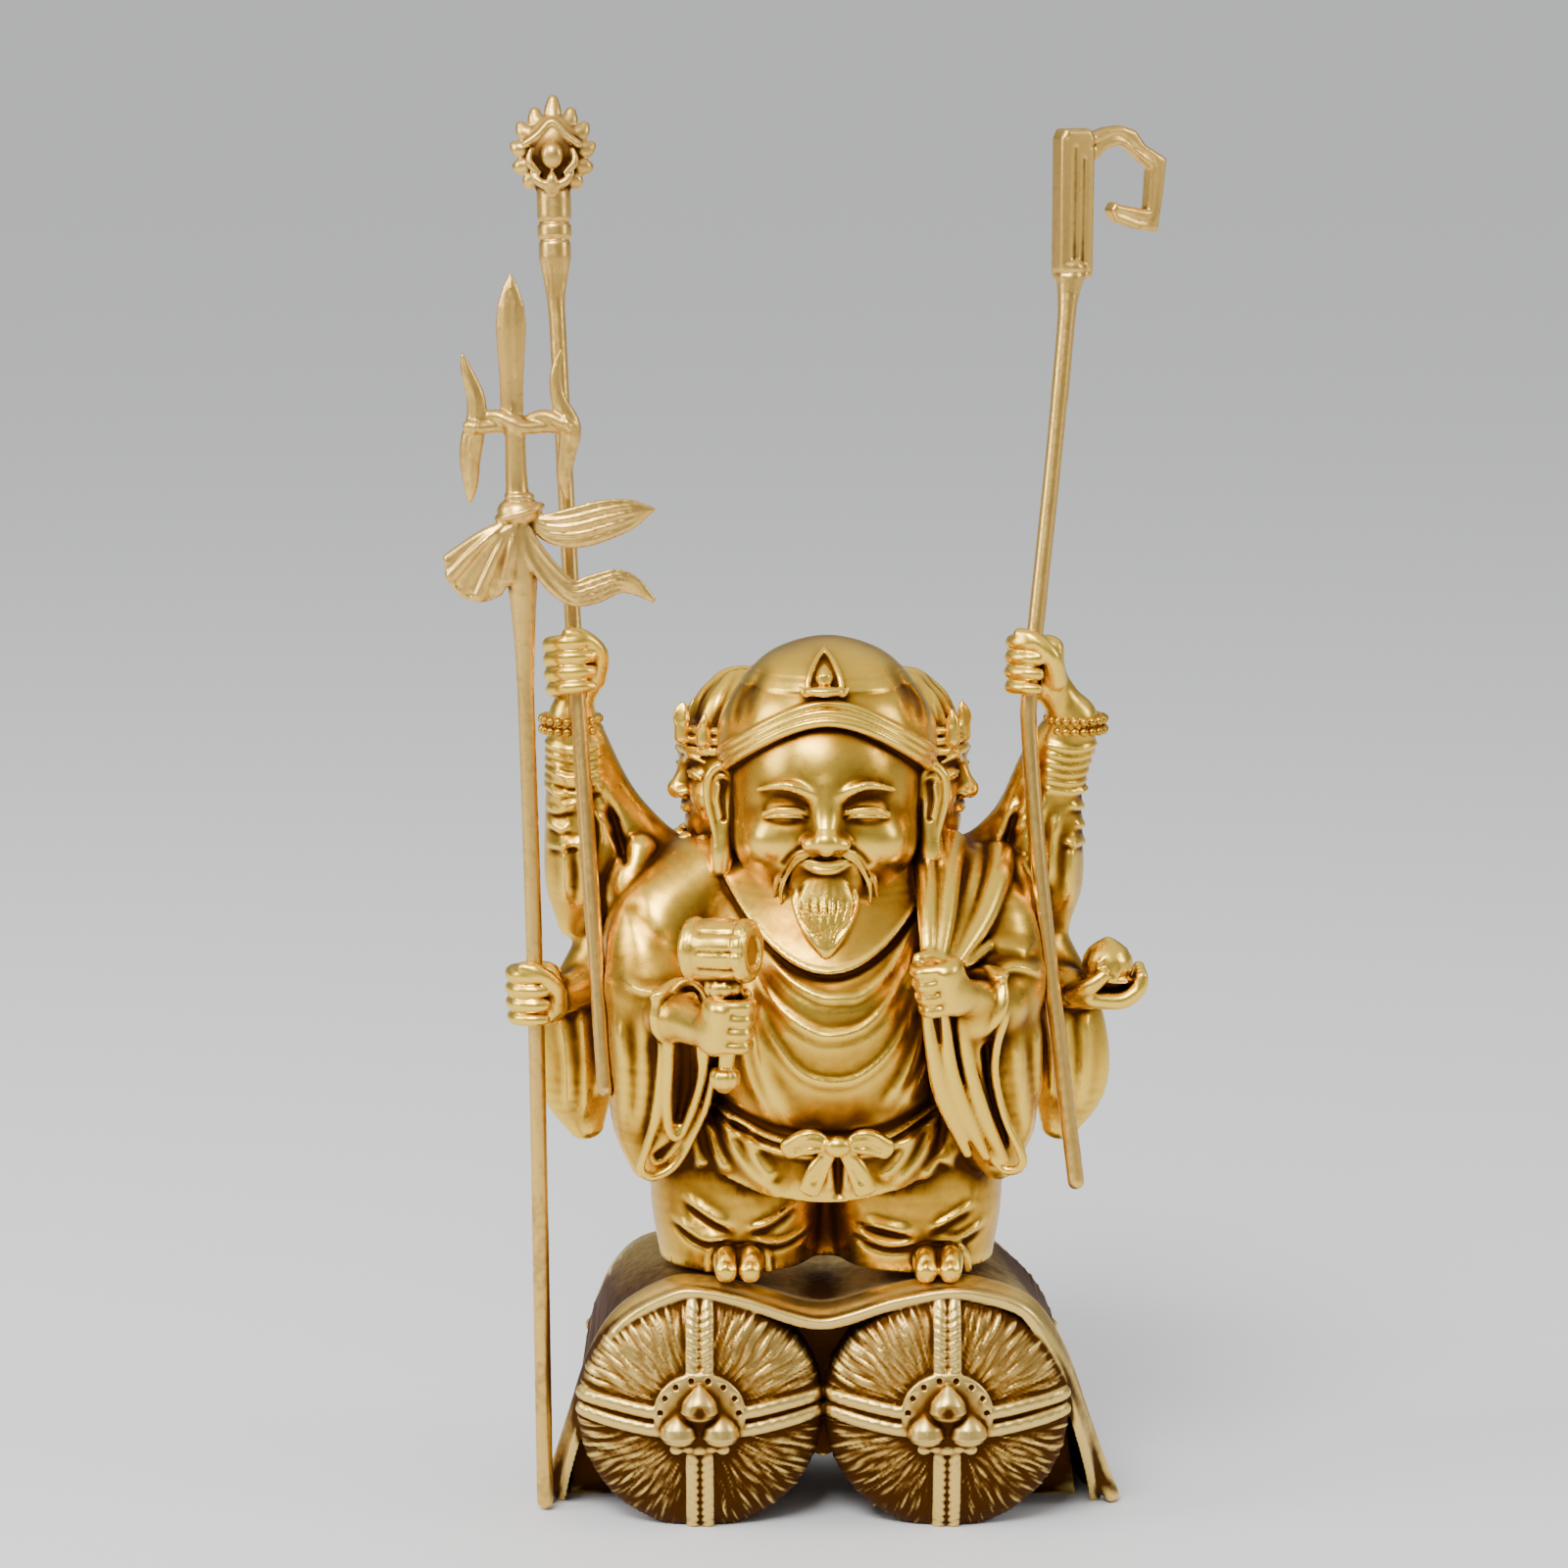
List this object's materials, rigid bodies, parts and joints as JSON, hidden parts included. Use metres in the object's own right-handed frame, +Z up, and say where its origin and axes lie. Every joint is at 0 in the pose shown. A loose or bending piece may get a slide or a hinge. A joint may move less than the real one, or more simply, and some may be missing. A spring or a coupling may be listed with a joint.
{
  "type": "god of wealth statue",
  "caption": "Cast brass god of wealth with three faces and six arms on draped rice bales, holding mallet, sack, jewel, trident, jewel staff and key.",
  "frame": {"origin": "on the ground under the middle of the whole statue, arms and implements included", "axes": "+Z up, -Y towards the front where the main face looks, +X to the viewer's right"},
  "size_m": [0.1247, 0.0657, 0.2445],
  "materials": {
    "polished_brass": "satin polished with dark recesses",
    "base_brass": "satin with dark brown recesses",
    "aged_brass": "dull and slightly tarnished"
  },
  "bodies": {
    "root": {"figure": "polished_brass", "rice_bale_base": "base_brass", "trident": "aged_brass", "flaming_jewel_staff": "aged_brass", "storehouse_key": "aged_brass"}
  },
  "joints": []
}
